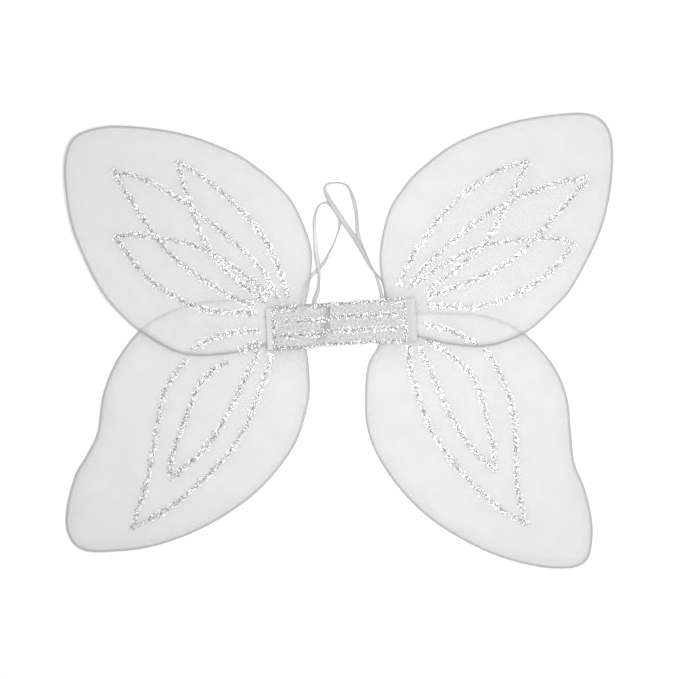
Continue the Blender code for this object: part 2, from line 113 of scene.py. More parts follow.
# Crumples: height, length along x, how far and over what length in y that strays, length in y
FRONT_CRUMPLE = (0.16, 6.5, 1.4, 9, 13)
BACK_CRUMPLE = (0.12, 8, 0, 1, 10)
NYLON_CRUMPLE = (0.12, 23, 1.3, 31, 27)
EDGE_GLOW = 0.08  # extra light on the fall to an edge
PANEL_SHADE = 1.03
TAPE_THICKNESS = 0.3
TAPE_GAP = 0.02
TAPE_WAVE = 0.08
TACK_BEVEL = 0.4
TACK_PINCH = 0.35
TACK_THREAD = 0.2
TACK_MARGIN = 0.6  # from the zigzag to the ends
TACK_SIDE = 0.7  # and to the sides
TAPE_SHADE = {  # how lit at a share of its width, from left to right
    "left": [(0, 0.93), (0.25, 0.97), (0.6, 0.98), (1, 0.98)],
    "right": [(0, 0.84), (0.7, 0.93), (0.85, 0.93), (1, 0.84)],
}

# Wires and sleeves
WIRE_RADIUS = 0.9
LASHING = (54.0, 1.0)
LASHING_RADIUS = 2.0
LASHING_TURNS = 14
LASHING_CORNERS = 14  # to a turn
LASHING_MARGIN = 0.35
LASHING_THREAD = 0.3
LAYER_GAP = 0.3
EYE_RADIUS = LASHING_RADIUS + LAYER_GAP + WIRE_RADIUS
EYE_STEPS = 16
SPINE_HALF_SPACING = 6.0
NYLON_AT_RIM = WIRE_RADIUS + LAYER_GAP  # height of the nylon over the middle of the wire
NYLON_INSIDE = 0.45  # and far from it
NYLON_FALL = 12.0
NYLON_COVER = 0.38
RIM_BENDS = 5  # faces of the nylon round the outside of its wire
WRAP_COVER = 0.66
WRAP_SHADE = 0.78
GATHER_REACH = 22.0  # from the lashing, where the nylon is bunched most
GATHER_HEIGHT = 0.2
GATHER_START = 6.0  # from the rim
GATHER_FOLDS = (34, 19)  # of two kinds, to a full turn round the lashing
GATHER_DRIFT = (2.5, 7)  # how far the first kind strays, and how often
GATHER_COVER = (0.12, 0.08)  # how much denser: everywhere, and more on the folds
GATHER_SHADE = 0.03
FINE_REACH = 62.0  # mesh steps are fine this near to the lashing
FINE_STEP = 2.2
COARSE_STEP = 5.5
RIM_CLEARANCE = 1.5
OVERLAP_PAINTED_LIGHT = 1.2  # painted light: the nylon is painted lighter where the wings of one side overlap
OVERLAP_RIM = 2.6  # and painted darker this near its own rim
OVERLAP_FADE = 4.0
# Inwards from the wire: how much the nylon hides, and how light it is
RIM_STEPS = (0, 1.0, 2.2, 3.4, 4.8, 6.0, 7.4, 9.5)
RIM_COVER = (0.64, 0.54, 0.36, 0.33, 0.38, 0.44, 0.39, NYLON_COVER)
RIM_SHADE = (0.84, 0.88, 0.945, 0.965, 0.975, 0.96, 0.985, 1.0)
WIRE_STEPS = 6
LEG_STEPS = 2

OUTLINES = {}
OUTLINES["upper_left"] = [
    (-40, 27), (-33, 58), (-32, 88), (-46, 130), (-63, 154), (-85, 175), (-112, 194), (-166, 217),
    (-234, 229), (-275, 224), (-291, 208), (-296, 177), (-292, 128), (-280, 89), (-263, 51), (-244, 25),
    (-222, 4), (-180, -22), (-135, -26), (-90, -19),
]
OUTLINES["upper_right"] = [
    (50, 27), (45, 58), (48, 88), (58, 120), (72, 141), (92, 162), (136, 191), (197, 210), (254, 216),
    (286, 213), (302, 197), (305, 168), (299, 125), (284, 80), (255, 30), (235, 8), (201, -19),
    (160, -32), (121, -29), (86, -19),
]
OUTLINES["lower_left"] = [
    (-86, 28), (-132, 32), (-164, 30), (-198, 19), (-224, 3), (-250, -28), (-267, -65), (-275, -105),
    (-289, -131), (-302, -151), (-313, -185), (-314, -213), (-300, -232), (-268, -236), (-219, -232),
    (-161, -213), (-105, -179), (-63, -133), (-45, -89), (-41, -60), (-43, -25),
]
OUTLINES["lower_right"] = [
    (84, 6), (123, 4), (161, -2), (198, -22), (228, -59), (241, -95), (243, -131), (245, -166),
    (255, -196), (261, -231), (259, -259), (252, -275), (234, -281), (198, -277), (149, -260),
    (98, -229), (62, -195), (34, -153), (22, -118), (21, -85), (26, -48), (40, -25),
]

# Glitter lines, from a leaf's tip down to the band: wing, name of the piece, name of its solid, lines
GLITTER = [
    ("upper_left", "glitter_lines", "glitter", [
        [(-172, 188), (-135, 160), (-92, 114), (-70, 72), (-58, 31)],
        [(-172, 188), (-165, 156), (-148, 101), (-121, 60), (-82, 28)],
        [(-244, 181), (-204, 167), (-154, 131), (-92, 72), (-70, 31)],
        [(-244, 181), (-216, 132), (-184, 85), (-132, 43), (-95, 24)],
        [(-246, 109), (-207, 107), (-149, 90), (-103, 57), (-77, 34)],
        [(-246, 109), (-217, 67), (-184, 40), (-145, 22), (-94, 17)],
    ]),
    ("upper_right", "glitter_lines", "glitter", [
        [(213, 167), (178, 158), (127, 124), (83, 74), (63, 37)],
        [(213, 167), (186, 121), (163, 82), (137, 60), (92, 29)],
        [(277, 145), (232, 139), (164, 111), (99, 63), (75, 35)],
        [(277, 145), (234, 100), (192, 62), (156, 44), (94, 23)],
        [(260, 74), (225, 82), (155, 76), (107, 55), (83, 38)],
        [(260, 74), (223, 39), (183, 19), (142, 10), (94, 16)],
    ]),
    ("lower_left", "outer_lines", "outer_glitter", [
        [(-244, -213), (-223, -156), (-203, -73), (-189, -48), (-173, -29)],
        [(-244, -213), (-189, -184), (-124, -124), (-86, -47), (-81, -28)],
    ]),
    ("lower_left", "inner_lines", "inner_glitter", [
        [(-199, -161), (-195, -134), (-165, -66), (-143, -42), (-128, -36)],
        [(-199, -161), (-152, -121), (-107, -49), (-94, -23)],
    ]),
    ("lower_right", "outer_lines", "outer_glitter", [
        [(190, -232), (182, -185), (182, -109), (165, -54), (152, -36)],
        [(190, -232), (142, -194), (91, -123), (71, -47), (72, -28)],
    ]),
    ("lower_right", "inner_lines", "inner_glitter", [
        [(159, -172), (157, -140), (144, -75), (118, -43), (91, -23)],
        [(159, -172), (123, -127), (88, -43), (84, -29)],
    ]),
    # The same leaves go on over the lower edge of the upper wings
    ("upper_left", "crossing_line", "crossing_glitter", [
        [(-166, -20.5), (-148, -10), (-126, -4), (-92, -3)],
    ]),
    ("upper_left", "edge_line", "edge_glitter", [[(-116, -24), (-92, -15)]]),
    ("upper_right", "crossing_line", "crossing_glitter", [
        [(147, -30), (130, -21), (109, -11), (88, -6)],
    ]),
]

# Glitter rows on the band, as (height, left end, right end)
ROWS = {
    "left": [
        (22.0, -75, -50), (22.0, -36, 0), (7.5, -63, -59.5), (7.5, -50, 0), (-8.0, -68, 0),
        (-21.5, -78, -46), (-21.5, -44, 0),
    ],
    "right": [(22.0, 0, 69), (7.5, 0, 62), (-8.0, 0, 60), (-21.5, 0, 68)],
}
ROW_SOLIDS = {"left": (1, 2, 3), "right": (2, 3)}  # which rows a side's solids are
COLUMN_X = {"left": -75.5, "right": 68.0}
COLUMN_ENDS = (-21.5, 22.0)

# Glue and flakes
BEAD_WIDTH = 3.4
BEAD_HEIGHT = 0.6
BEAD_STEP = 1.5
BEAD_SIDES = 7
BEAD_SUNK = 0.1
FLAKES_PER_MM = 6.4  # along a line
FLAKES_PER_CLUMP = 2  # which share their painted glint
CLUMP_SPREAD = 0.3
FLAKE_SPREAD = 1.7  # how far flakes stray from the middle of their line
FLAKE_LIMIT = 4.2
FLAKE_RADIUS = (0.25, 0.68)
FLAKE_TILT = math.radians(50)
FLAKE_CORNERS = 6
FLAKE_POINT = 0.16  # height of its facets, as a share of its radius
FLAKE_GAP = 0.12
FLAKE_STRAY = (-0.05, 0.3)  # in height, on top of the glue
PAINTED_GLINT_STRAY = 0.05
LINE_LIFT = 0.03  # of each line over the one before
ROOT_SPREAD = 1.1  # lines get wider towards the band
ROOT_RANGE = (45, 95)  # between these distances from the lashing
BAND_SPREAD = 0.9
BAND_BRIGHT = 0.6  # the band's flakes get darker painted glints
WING_SEED = 11
BAND_SEEDS = {"left": 31, "right": 32}

# Straps in metres
STRAP_THICKNESS = 0.001
STRAP_GAP = 0.0001
STRAP_EDGE = 0.0008  # width of the thinner, darker band along each edge
STRAP_RIBS = 5
STRAP_STEPS = 7  # to a span of the route
STRAP_SHADE = {  # how lit at a share of the length
    "left": [(0, 0.87), (0.12, 0.87), (0.17, 1), (0.21, 1), (0.25, 1.22), (0.32, 1.22), (0.38, 1)],
    "right": [(0.09, 0.96), (0.13, 0.8), (0.25, 0.8), (0.32, 0.92), (0.4, 0.84), (0.46, 1)],
}

# Their routes in millimetres: x, y, height above lying on the surface, turn from flat in degrees, width
LEFT_STRAP = [
    (-30, 23.8, 1.3, 0, 4), (-29.8, 28, 1, 0, 4.4), (-26.2, 36, 0.5, 0, 4.2), (-24.1, 47, 0.4, 0, 2.8),
    (-23.5, 55, 1.4, 0, 3.2), (-23.7, 61.5, 1.9, 8, 3.8), (-24.1, 68, 1.4, 18, 4.8),
    (-24.9, 78, 0.1, 33, 5.8), (-25.3, 99, 0, 50, 5.4), (-24.9, 116.5, 0, 58, 5),
    (-20.2, 129.6, 0, 72, 4.8), (-13.5, 133.8, 0, 76, 4), (-8, 132.3, 0, 28, 3.6), (-3, 127, 0, 0, 4),
    (2, 118, 0, 0, 3.6), (2.7, 113.5, 0, 5, 3.4), (1.8, 108.5, 0, 48, 4), (0.2, 102, 0, 78, 4.8),
    (-5, 89.2, 0, 80, 4.8), (-10.5, 79.8, 0, 66, 4.8), (-17.5, 68.1, 0, 34, 4.6), (-22, 63, 0, 4, 3.6),
    (-26.8, 59, 0, 0, 3.6), (-32.8, 53.2, 0, 0, 3.6), (-39.2, 44.5, 0, 0, 3.8), (-44, 35, 0.4, 0, 4),
    (-46, 28, 1, 0, 4.2), (-46, 23.8, 1.3, 0, 4),
]
RIGHT_STRAP = [
    (44, 23.8, 1.3, 0, 3.6), (44, 28, 1.1, 0, 3.2), (42, 40, 1.2, 0, 3), (37.6, 54.4, 1.5, 0, 2.4),
    (32.7, 63, 1.6, 0, 3.2), (25, 80, 1.8, 0, 5.2), (17.5, 94.5, 2, 0, 5.4), (10.5, 105.5, 2.3, 0, 5.4),
    (3.2, 117.4, 2.6, 0, 5.6), (-2.5, 127, 3.1, 0, 5.4), (-6.8, 134.5, 3.9, 10, 4.8),
    (-9.5, 141, 2.3, 35, 5), (-11.8, 148, 0.3, 52, 5.4), (-9.5, 153.6, 0, 78, 5.4),
    (-1, 155, 0, 84, 5.4), (8.5, 153.6, 0, 82, 5.4), (14.6, 147.8, 0, 62, 5.6),
    (19.2, 133.4, 0, 48, 5.8), (21.2, 116.4, 0, 50, 5.8), (21.2, 103, 0, 50, 5.6),
    (22, 95.5, 0, 25, 4.8), (23.6, 88, 0, 8, 4.4), (26.5, 80.5, 0, 0, 4), (33, 63.3, 0, 0, 3),
    (37.8, 54.8, 0, 0, 2.2), (45.3, 45, 0, 0, 2), (48.2, 36, 0.4, 0, 2.2), (48.6, 28, 1, 0, 3.2),
    (48.6, 23.8, 1.3, 0, 3.6),
]

# Camera, light and floor: places and sizes in metres, lens and sensor in millimetres
CAMERA_PLACE = (-0.00479, -0.01737, 2.0797)
CAMERA_TURN = math.radians(-3.07)
CAMERA_LENS = 100
CAMERA_SENSOR = 36
SOFTBOX_PLACE = (0.11, 0.0, 0.88)
SOFTBOX_SIZE = 0.5
SOFTBOX_WATTS = 5.9
SKY_STRENGTH = 0.7
FLOOR_HALF = 4.0
FLOOR_Z = -0.0004

# ---- paths


def smooth(points, steps):
    """Catmull-Rom curve through the points, with this many samples to a span."""
    known = [Vector(p) for p in points]
    known = [2 * known[0] - known[1], *known, 2 * known[-1] - known[-2]]
    curve = []
    for a, b, c, d in zip(known, known[1:], known[2:], known[3:]):
        for i in range(steps):
            t = i / steps
            point = 2 * b + (c - a) * t + (2 * a - 5 * b + 4 * c - d) * t**2
            point += (3 * b - a - 3 * c + d) * t**3
            curve.append(point / 2)
    curve.append(known[-2])
    return curve


def tangents(path, closed=False):
    row = [path[-1], *path, path[0]] if closed else [path[0], *path, path[-1]]
    return [(after - before).normalized() for before, after in zip(row, row[2:])]


def distances(path):
    """How far along the path each point is."""
    steps = [(b - a).length for a, b in zip(path, path[1:])]
    return np.concatenate([[0.0], np.cumsum(steps)])


def evenly(path, step):
    """The same path, with points about this far apart."""
    along = distances(path)
    count = max(2, round(along[-1] / step) + 1)
    at = np.linspace(0.0, along[-1], count)
    columns = [np.interp(at, along, [p[axis] for p in path]) for axis in range(len(path[0]))]
    return [Vector(row) for row in zip(*columns)]


def eye_points(start, end, centre):
    """Bend a loop's two legs tangentially round its lashing, from end back to start."""
    first = start - centre
    last = end - centre
    turn = 1.0 if first.cross(last) > 0 else -1.0
    first_angle = math.atan2(first.y, first.x) - turn * math.acos(EYE_RADIUS / first.length)
    last_angle = math.atan2(last.y, last.x) + turn * math.acos(EYE_RADIUS / last.length)
    sweep = (turn * (first_angle - last_angle)) % (2 * math.pi)
    angles = [last_angle + turn * sweep * i / EYE_STEPS for i in range(EYE_STEPS + 1)]
    return [centre + EYE_RADIUS * Vector((math.cos(a), math.sin(a))) for a in angles]


def lashing_centre(side):
    return Vector((SIGN[side] * LASHING[0], LASHING[1]))


def raised(path, z):
    return [Vector((p.x, p.y, z)) for p in path]


def wander(rng, count, spread, every):
    """Smooth random numbers of up to plus or minus spread, with a new one after every so many."""
    knots = rng.uniform(-spread, spread, count // every + 2)
    return np.interp(np.arange(count) / every, np.arange(len(knots)), knots)


def crumple(x, y, waves):
    height, length, stray, stray_length, row_length = waves
    return height * np.sin(x / length + stray * np.sin(y / stray_length)) * np.cos(y / row_length)


def between(pairs, at):
    """Straight-line values between (place, value) pairs."""
    return np.interp(at, *zip(*pairs))


# ---- meshes


class Shape:
    """A mesh in the making: points in millimetres, faces with UVs in millimetres, and values."""

    def __init__(self, *names):
        self.points = []
        self.faces = []
        self.uvs = []
        self.slots = []
        self.flat = []
        self.values = {name: [] for name in names}

    def add(self, points, **values):
        first = len(self.points)
        self.points.extend(points)
        for name, known in self.values.items():
            value = values.get(name, 1.0)
            known.extend(value if hasattr(value, "__len__") else [value] * len(points))
        return first

    def face(self, corners, uvs, slot=0, flat=False):
        self.faces.append(corners)
        self.uvs.extend(uvs)
        self.slots.append(slot)
        self.flat.append(flat)


def loft(shape, rings, closed=False, planar=False, **values):
    """Skin over closed rings of points, with an end cap on an open path."""
    count = len(rings[0])
    first = shape.add([p for ring in rings for p in ring], **values)
    centres = [sum(ring, Vector((0, 0, 0))) / count for ring in rings]
    along = distances([*centres, centres[0]])
    around = distances([*rings[0], rings[0][0]])
    for i in range(len(rings) if closed else len(rings) - 1):
        j = (i + 1) % len(rings)
        for k in range(count):
            m = (k + 1) % count
            corners = [(i, k), (j, k), (j, m), (i, m)]
            if planar:
                uvs = [(rings[a][b].x, rings[a][b].y) for a, b in corners]
            else:
                uvs = [
                    (along[i], around[k]), (along[i + 1], around[k]),
                    (along[i + 1], around[k + 1]), (along[i], around[k + 1]),
                ]
            shape.face([first + a * count + b for a, b in corners], uvs)
    if not closed:
        for i in (0, len(rings) - 1):
            corners = [first + i * count + k for k in range(count)]
            shape.face(corners, [(p.x, p.y) for p in rings[i]], flat=True)


def tube(shape, path, radius, sides=12, closed=False):
    """Round wire or thread along a path."""
    directions = tangents(path, closed)
    side = directions[0].orthogonal().normalized()
    rings = []
    for point, along in zip(path, directions):
        side = (side - along * side.dot(along)).normalized()
        up = along.cross(side)
        angles = [2 * math.pi * k / sides for k in range(sides)]
        rings.append([point + radius * (side * math.cos(a) + up * math.sin(a)) for a in angles])
    loft(shape, rings, closed)


def build(name, shape, slot, replaced, body=None, sharp=50):
    """Turn a shape into a piece that rides on a body, or keeps its place in the world without one."""
    data = bpy.data.meshes.new(name)
    data.from_pydata([tuple(p * MM for p in point) for point in shape.points], [], shape.faces)
    layer = data.uv_layers.new(name="UVMap")
    layer.data.foreach_set("uv", np.array(shape.uvs, np.float32).ravel())
    data.polygons.foreach_set("material_index", shape.slots)
    data.polygons.foreach_set("use_smooth", [not flat for flat in shape.flat])
    for key, numbers in shape.values.items():
        attribute = data.attributes.new(key, "FLOAT", "POINT")
        attribute.data.foreach_set("value", np.array(numbers, np.float32))
    work = bmesh.new()
    work.from_mesh(data)
    bmesh.ops.recalc_face_normals(work, faces=work.faces)
    work.to_mesh(data)
    work.free()
    data.set_sharp_from_angle(angle=math.radians(sharp))
    for material in MATERIALS[slot]:
        data.materials.append(material)
    item = new_object(name, data)
    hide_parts(*replaced)
    if body:
        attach(item, body)
    else:
        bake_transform(item)
    return item


def new_object(name, data):
    item = bpy.data.objects.new(name, data)
    bpy.context.scene.collection.objects.link(item)
    return item


# ---- materials

WAVE_UNIT = 2 * math.pi / 20  # a wave texture of scale 1 repeats after this much
MATERIALS = {}  # by slot


class Paint:
    """Node tree of one material, with its UVs in millimetres."""

    def __init__(self, slot, name, roughness, metallic=0.0, sheen=0.0, coat=0.0, specular=0.5):
        material = bpy.data.materials.new(name)
        material.use_nodes = True
        MATERIALS.setdefault(slot, []).append(material)
        self.tree = material.node_tree
        self.shader = self.tree.nodes["Principled BSDF"]
        settings = {
            "Roughness": roughness, "Metallic": metallic, "Specular IOR Level": specular,
            "Sheen Weight": sheen, "Sheen Roughness": 0.4, "Coat Weight": coat, "Coat Roughness": 0.15,
        }
        for socket, value in settings.items():
            self.drive(value, socket)
        self.uv = self.add("TexCoord").outputs["UV"]

    def feed(self, socket, value):
        if isinstance(value, bpy.types.NodeSocket):
            self.tree.links.new(value, socket)
        else:
            socket.default_value = value

    def drive(self, value, name):
        self.feed(self.shader.inputs[name], value)

    def add(self, kind, **inputs):
        node = self.tree.nodes.new("ShaderNode" + kind)
        for name, value in inputs.items():
            self.feed(node.inputs[name.replace("_", " ")], value)
        return node

    def noise(self, size, low, high, detail=2.0):
        """Noise with features of this size in millimetres, from low to high."""
        noise = self.add("TexNoise", Vector=self.uv, Scale=1 / size, Detail=detail)
        return self.ranged(noise.outputs["Fac"], 0.3, 0.7, low, high)

    def ranged(self, socket, start, stop, low, high):
        values = {"From_Min": start, "From_Max": stop, "To_Min": low, "To_Max": high}
        return self.add("MapRange", Value=socket, **values).outputs["Result"]

    def math(self, operation, first, second):
        node = self.add("Math")
        node.operation = operation
        for socket, value in zip(node.inputs, (first, second)):
            self.feed(socket, value)
        return node.outputs["Value"]

    def product(self, first, *others):
        for other in others:
            first = self.math("MULTIPLY", first, other)
        return first

    def wave(self, direction, period, distortion=0.4):
        """Ribs across U or V, this many millimetres apart, from 0 to 1."""
        wave = self.add(
            "TexWave", Vector=self.uv, Scale=WAVE_UNIT / period, Distortion=distortion, Detail_Scale=0.6
        )
        wave.bands_direction = direction
        return wave.outputs["Fac"]

    def value(self, name):
        node = self.add("Attribute")
        node.attribute_name = name
        return node.outputs["Fac"]

    def colour(self, colour, factor):
        node = self.add("VectorMath", Vector=colour)
        node.operation = "SCALE"
        self.feed(node.inputs["Scale"], factor)
        self.drive(node.outputs["Vector"], "Base Color")

    def bump(self, height, distance, strength=0.6):
        bump = self.add("Bump", Height=height, Distance=distance * MM, Strength=strength)
        self.drive(bump.outputs["Normal"], "Normal")


def paint_nylon():
    """Sheer knitted nylon: denser at the rim and where it is bunched."""
    paint = Paint("nylon", "white_nylon", 0.75, sheen=0.15, specular=0.2)
    knit = paint.product(paint.wave("X", 0.62), paint.wave("Y", 0.85))
    tone = paint.product(paint.noise(26, 0.97, 1.02), paint.value("shade"), paint.noise(1.4, 0.97, 1.03))
    paint.colour((0.705, 0.705, 0.71), tone)
    cover = paint.product(paint.value("cover"), paint.ranged(knit, 0, 1, 0.9, 1.1))
    paint.drive(cover, "Alpha")
    paint.bump(knit, 0.12, 0.4)


def paint_wire():
    """Grey-white plastic coat with a faint spiral and small scuffs."""
    paint = Paint("coated_wire", "coated_wire", 0.4, coat=0.1)
    scuffs = paint.noise(2.5, 0.9, 1.06, 4)
    paint.colour((0.30, 0.30, 0.305), scuffs)
    paint.drive(paint.noise(4, 0.32, 0.5), "Roughness")
    paint.bump(paint.wave("X", 1.3), 0.05, 0.4)


def paint_panel():
    """Dense white mesh fabric with a mottled weave."""
    paint = Paint("panel_mesh", "panel_mesh", 0.85, sheen=0.2, specular=0.2)
    weave = paint.math("MAXIMUM", paint.wave("X", 0.9, 0.8), paint.wave("Y", 0.9, 0.8))
    tone = paint.product(paint.noise(1.9, 0.64, 1.3, 4), paint.value("shade"), paint.noise(11, 0.96, 1.03))
    tone = paint.product(tone, paint.ranged(weave, 0, 1, 0.9, 1.04))
    paint.colour((0.51, 0.51, 0.515), tone)
    paint.bump(weave, 0.18, 0.7)


def paint_tape():
    """Smooth pale fabric tape with fine threads."""
    paint = Paint("end_tape", "end_tape", 0.6, sheen=0.1)
    threads = paint.wave("X", 0.5, 0.2)
    tone = paint.product(paint.noise(3, 0.94, 1.04), paint.value("shade"))
    paint.colour((0.66, 0.66, 0.66), tone)
    paint.drive(0.8, "Alpha")
    paint.bump(threads, 0.06, 0.5)


def paint_glue():
    """Dried glitter glue: milky, a little glossy and uneven."""
    paint = Paint("glitter_glue", "glitter_glue", 0.35, coat=0.3)
    paint.colour((0.55, 0.55, 0.56), paint.noise(1.5, 0.8, 1.05, 3))
    paint.drive(0.25, "Alpha")
    paint.bump(paint.noise(0.6, 0, 1, 3), 0.2, 0.8)


def paint_flakes():
    """Silver flakes with painted glints: each one's colour, from dark to white, stands in for how it
    catches the light.
    """
    paint = Paint("glitter_glue", "silver_flakes", 0.22, metallic=0.55)
    # painted glint: the ramp runs from a flake that catches no light to one that catches it fully
    ramp = paint.add("ValToRGB", Fac=paint.value("sparkle"))
    stops = ramp.color_ramp.elements
    stops[0].color = (0.13, 0.13, 0.135, 1)
    stops[1].color = (1.0, 1.0, 1.0, 1)
    for place, tone in ((0.26, 0.25), (0.42, 0.55), (0.55, 0.97)):
        stops.new(place).color = (tone, tone, tone, 1)
    paint.drive(ramp.outputs["Color"], "Base Color")
    paint.drive(paint.noise(0.5, 0.12, 0.32), "Roughness")


def paint_elastic():
    """Woven elastic: ribs are in the mesh, the cross threads are here."""
    paint = Paint("elastic", "white_elastic", 0.8, sheen=0.2, specular=0.25)
    threads = paint.wave("X", 0.55, 0.3)
    weave = paint.ranged(threads, 0, 1, 0.9, 1.04)
    tone = paint.product(weave, paint.value("shade"), paint.noise(6, 0.96, 1.02))
    paint.colour((0.62, 0.62, 0.62), tone)
    paint.bump(threads, 0.1, 0.7)


def paint_thread():
    """White polyester thread with a slanting ply."""
    paint = Paint("thread", "white_thread", 0.7, sheen=0.2)
    paint.colour((0.60, 0.60, 0.595), paint.noise(0.8, 0.88, 1.05))
    paint.bump(paint.wave("DIAGONAL", 0.35, 0.2), 0.05, 0.7)


def paint_floor():
    """Plain matt white."""
    paint = Paint("floor", "floor", 0.9, specular=0.1)
    paint.colour((0.97, 0.97, 0.97), paint.noise(0.4, 0.995, 1.0))


# ---- sleeves and wires


def rim_distance(points, rim):
    """Distance in the plane from each point to an open line of points."""
    points = np.array(points, float)[:, None, :]
    line = np.array([tuple(p) for p in rim], float)
    start = line[None, :-1]
    span = (line[1:] - line[:-1])[None]
    part = ((points - start) * span).sum(2) / (span**2).sum(2)
    nearest = start + np.clip(part, 0, 1)[..., None] * span
    return np.linalg.norm(points - nearest, axis=2).min(1)


def nylon_height(distance):
    """Half the thickness of the bag this far in from its wire."""
    return NYLON_INSIDE + (NYLON_AT_RIM - NYLON_INSIDE) * np.exp(-np.asarray(distance) / NYLON_FALL)


def ridges(x, y, centre):
    """Gathers that fan out of the lashing: their height, their phase and how bunched they are."""
    angle = np.arctan2(y - centre.y, x - centre.x)
    radius = np.hypot(x - centre.x, y - centre.y)
    bunched = np.exp(-((np.maximum(radius - GATHER_REACH, 0) / GATHER_REACH) ** 2))
    drift = GATHER_DRIFT[0] * np.sin(angle * GATHER_DRIFT[1])
    fan = np.sin(angle * GATHER_FOLDS[0] + drift) * 0.5 + np.sin(angle * GATHER_FOLDS[1] + 1) * 0.5
    return GATHER_HEIGHT * fan * bunched + crumple(x, y, NYLON_CRUMPLE), fan, bunched


class Wing:
    """Wire path, sleeve rim and nylon surface of one wing."""

    def __init__(self, name, outline):
        level, side = name.split("_")
        self.name = name
        self.body = f"{name}_wing"
        self.z = UPPER_WIRE_Z if level == "upper" else LOWER_WIRE_Z
        self.centre = lashing_centre(side)
        points = [Vector(p) for p in outline]
        eye = eye_points(points[0], points[-1], self.centre)
        curve = smooth([eye[-1], *points, eye[0]], WIRE_STEPS)
        self.wire = curve[:-1] + eye[:-1]
        self.rim = curve[LEG_STEPS:-LEG_STEPS]
        self.area = sum(a.cross(b) for a, b in zip(self.rim, self.rim[1:] + self.rim[:1])) / 2
        self.turn = 1.0 if self.area > 0 else -1.0

    def top(self, points):
        """Height of the nylon's front face at points in the plane."""
        flat = np.array([(p[0], p[1]) for p in points], float)
        rise = nylon_height(rim_distance(flat, self.rim))
        return self.z + rise + ridges(flat[:, 0], flat[:, 1], self.centre)[0]


def inside(points, rim):
    """Which points lie inside the closed rim."""
    x, y = points[:, 0], points[:, 1]
    within = np.zeros(len(points), bool)
    for a, b in zip(rim, rim[1:] + rim[:1]):
        if a.y == b.y:
            continue
        crosses = (a.y > y) != (b.y > y)
        within ^= crosses & (x < a.x + (y - a.y) * (b.x - a.x) / (b.y - a.y))
    return within


def triangular_grid(low, high, step):
    rows = []
    for j, y in enumerate(np.arange(low[1], high[1], step * 0.87)):
        shift = step / 2 * (j % 2)
        rows.extend((x, y) for x in np.arange(low[0] + shift, high[0], step))
    return np.array(rows)


def sleeve_points(wing):
    """Points inside the rim: fine near the wire and in the gathers, coarse elsewhere."""
    rim = wing.rim
    closed_rim = rim + rim[:1]
    low = (min(p.x for p in rim), min(p.y for p in rim))
    high = (max(p.x for p in rim), max(p.y for p in rim))
    kept = []
    for offset in RIM_STEPS[1:]:
        shifted = np.array([
            (p.x - wing.turn * t.y * offset, p.y + wing.turn * t.x * offset)
            for p, t in zip(rim, tangents(rim))
        ])
        clear = rim_distance(shifted, closed_rim) > offset * 0.93
        kept.append(shifted[clear & inside(shifted, rim)])
    for step, near, far in ((FINE_STEP, 0, FINE_REACH), (COARSE_STEP, FINE_REACH, math.inf)):
        grid = triangular_grid(low, high, step)
        radius = np.hypot(grid[:, 0] - wing.centre.x, grid[:, 1] - wing.centre.y)
        grid = grid[(radius >= near) & (radius < far)]
        grid = grid[inside(grid, rim)]
        kept.append(grid[rim_distance(grid, closed_rim) > RIM_STEPS[-1] + RIM_CLEARANCE])
    return np.concatenate(kept)


def overlap_painted_light(points, other_rim):
    """Painted light: how much lighter the nylon is painted at points that lie over or under the other
    wing.
    """
    depth = rim_distance(points, other_rim + other_rim[:1])
    depth[~inside(points, other_rim)] *= -1
    part = np.clip(0.5 + depth / OVERLAP_FADE, 0, 1)
    return 1 + (OVERLAP_PAINTED_LIGHT - 1) * part


